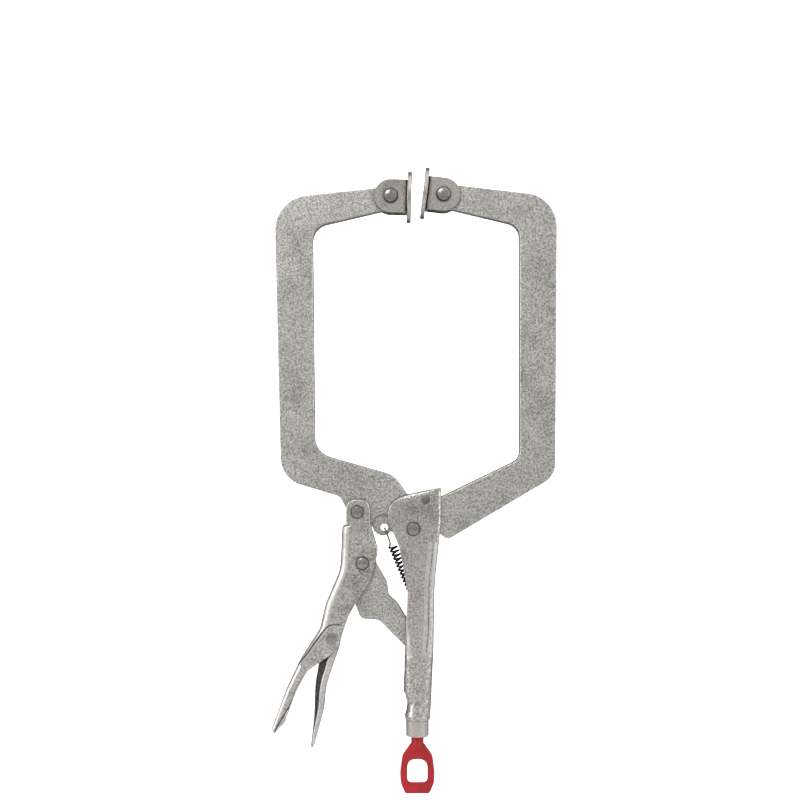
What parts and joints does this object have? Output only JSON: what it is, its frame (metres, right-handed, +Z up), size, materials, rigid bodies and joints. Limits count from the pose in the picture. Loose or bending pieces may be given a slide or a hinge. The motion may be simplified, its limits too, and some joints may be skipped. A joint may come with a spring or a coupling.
{
  "type": "locking c clamp",
  "caption": "Locking C clamp with deep plate arms, swivel pads, a toggle-locked lever handle, a release lever and a screw adjuster with a finger loop.",
  "frame": {"origin": "middle of the fixed pad's clamping face", "axes": "+Z up along the clamp's length, handles down; +X from the moving arm to the fixed arm; +Y through the thickness"},
  "size_m": [0.1966, 0.0354, 0.4318],
  "materials": {
    "pressed_steel": "bright plated pressed steel, fine grain",
    "plate_steel": "satin plated plate, fine blasted grain",
    "pad_steel": "satin plated pressed steel",
    "turned_steel": "smooth bright plated turned steel",
    "rivet_steel": "polished plated rivet heads",
    "dark_rivet": "dull dark flush rivet",
    "screw_steel": "plated screw",
    "spring_steel": "dark drawn spring wire",
    "red_coating": "thick glossy red coating"
  },
  "bodies": {
    "handle": {"fixed_handle": "pressed_steel", "thread_bushing": "turned_steel", "fixed_arm": "plate_steel", "fixed_arm_rivet": "dark_rivet", "jaw_pivot_rivet": "rivet_steel"},
    "jaw": {"moving_arm": "plate_steel"},
    "lever": {"lever_handle": "pressed_steel", "lever_pivot_rivet": "rivet_steel", "toggle_pivot_rivet": "rivet_steel", "release_pivot_rivet": "rivet_steel"},
    "toggle": {"toggle_link": "plate_steel"},
    "release": {"release_lever": "pressed_steel"},
    "screw": {"adjusting_screw": "screw_steel"},
    "loop": {"screw_loop": "red_coating"},
    "spring": {"return_spring": "spring_steel"},
    "fixed_swivel": {"fixed_pad": "pad_steel", "fixed_pad_rivet": "rivet_steel"},
    "moving_swivel": {"moving_pad": "pad_steel", "moving_pad_rivet": "rivet_steel"}
  },
  "joints": [
    {"name": "jaw_swing", "type": "hinge", "parent": "handle", "child": "jaw", "pos_m": [-0.0065, 0, -0.23117], "axis": [0, -1, 0], "range_deg": [-1.1, 27.8], "deforming": ["return_spring"]},
    {"name": "lever_swing", "type": "hinge", "parent": "jaw", "child": "lever", "pos_m": [-0.045, 0, -0.21957], "axis": [0, -1, 0], "range_deg": [-57, 3]},
    {"name": "toggle_swing", "type": "hinge", "parent": "lever", "child": "toggle", "pos_m": [-0.0415, 0, -0.25487], "axis": [0, -1, 0], "range_deg": [-2.5, 50]},
    {"name": "release_press", "type": "hinge", "parent": "lever", "child": "release", "pos_m": [-0.0628, 0, -0.30677], "axis": [0, 1, 0], "range_deg": [0, 8]},
    {"name": "loop_turn", "type": "hinge", "parent": "screw", "child": "loop", "pos_m": [-0.0037, 0, -0.385], "axis": [0, 0, -1], "range_deg": [0, 6352]},
    {"name": "screw_travel", "type": "slide", "parent": "handle", "child": "screw", "axis": [0, 0, -1], "range_m": [0, 0.028]},
    {"name": "fixed_pad_swivel", "type": "hinge", "parent": "handle", "child": "fixed_swivel", "pos_m": [0.0142, 0, -0.00167], "axis": [0, 1, 0], "range_deg": [-20, 10]},
    {"name": "moving_pad_swivel", "type": "hinge", "parent": "jaw", "child": "moving_swivel", "pos_m": [-0.0221, 0, -0.00267], "axis": [0, 1, 0], "range_deg": [-16, 14]},
    {"name": "spring_lean", "type": "hinge", "parent": "handle", "child": "spring", "pos_m": [0.0003, 0, -0.2925], "axis": [0, -1, 0], "range_deg": [-0.5, 2]}
  ],
  "couplings": [
    {"joint": "lever_swing", "follows": "jaw_swing", "ratio": -1.975},
    {"joint": "toggle_swing", "follows": "jaw_swing", "ratio": 1.735},
    {"joint": "spring_lean", "follows": "jaw_swing", "ratio": 0.0444},
    {"joint": "loop_turn", "follows": "screw_travel", "rad_per_m": 3957.9}
  ]
}
